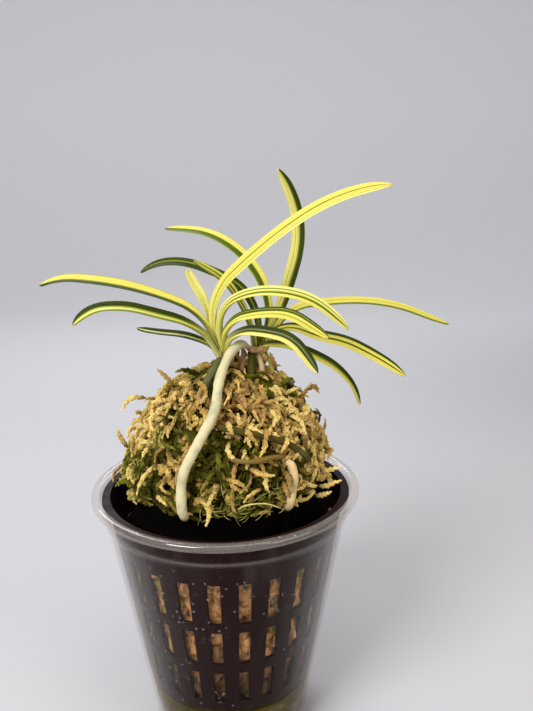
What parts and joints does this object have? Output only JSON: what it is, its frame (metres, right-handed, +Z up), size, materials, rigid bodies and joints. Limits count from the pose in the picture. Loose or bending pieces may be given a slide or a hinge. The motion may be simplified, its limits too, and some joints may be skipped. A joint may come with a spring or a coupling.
{
  "type": "wind orchid in a pot",
  "caption": "Wind orchid with arching striped leaves, rooted over a mound of sphagnum moss in a slotted basket that nests in a clear drainage cup.",
  "frame": {"origin": "centre of the clear cup's flat base, on the surface it stands on", "axes": "+Z up along the cup's axis, -Y towards the front with the long aerial root, +X to the right"},
  "size_m": [0.1462, 0.098, 0.2078],
  "materials": {
    "clear_plastic": "thin clear moulded plastic, glossy",
    "black_plastic": "semi-gloss black moulded plastic",
    "water": "still water tinted olive by the moss",
    "moss": "dry sphagnum, straw and orange-brown with olive green patches, matt",
    "leaf": "smooth leathery leaf, bright yellow with dark green stripes, soft sheen",
    "sheath": "folded leaf bases, yellow-green with fine lines, soft sheen",
    "pale_root": "pale velvety root skin, matt",
    "grey_root": "grey-green root skin, matt",
    "old_root": "old brown root, wrinkled and matt"
  },
  "bodies": {
    "root": {"clear_cup": "clear_plastic", "net_basket": "black_plastic", "drain_water": "water", "moss": "moss", "stem_a": "sheath", "stem_b": "sheath", "leaf_a1": "leaf", "leaf_a2": "leaf", "leaf_a3": "leaf", "leaf_a4": "leaf", "leaf_a5": "leaf", "leaf_a6": "leaf", "leaf_a7": "leaf", "leaf_a8": "leaf", "leaf_b1": "leaf", "leaf_b2": "leaf", "leaf_b3": "leaf", "leaf_b4": "leaf", "leaf_b5": "leaf", "leaf_b6": "leaf", "leaf_b7": "leaf", "root_front": "pale_root", "root_left": "grey_root", "root_right": "pale_root", "root_tan": "old_root", "root_olive": "old_root", "root_pink": "pale_root", "root_small": "pale_root", "root_old": "old_root"}
  },
  "joints": []
}
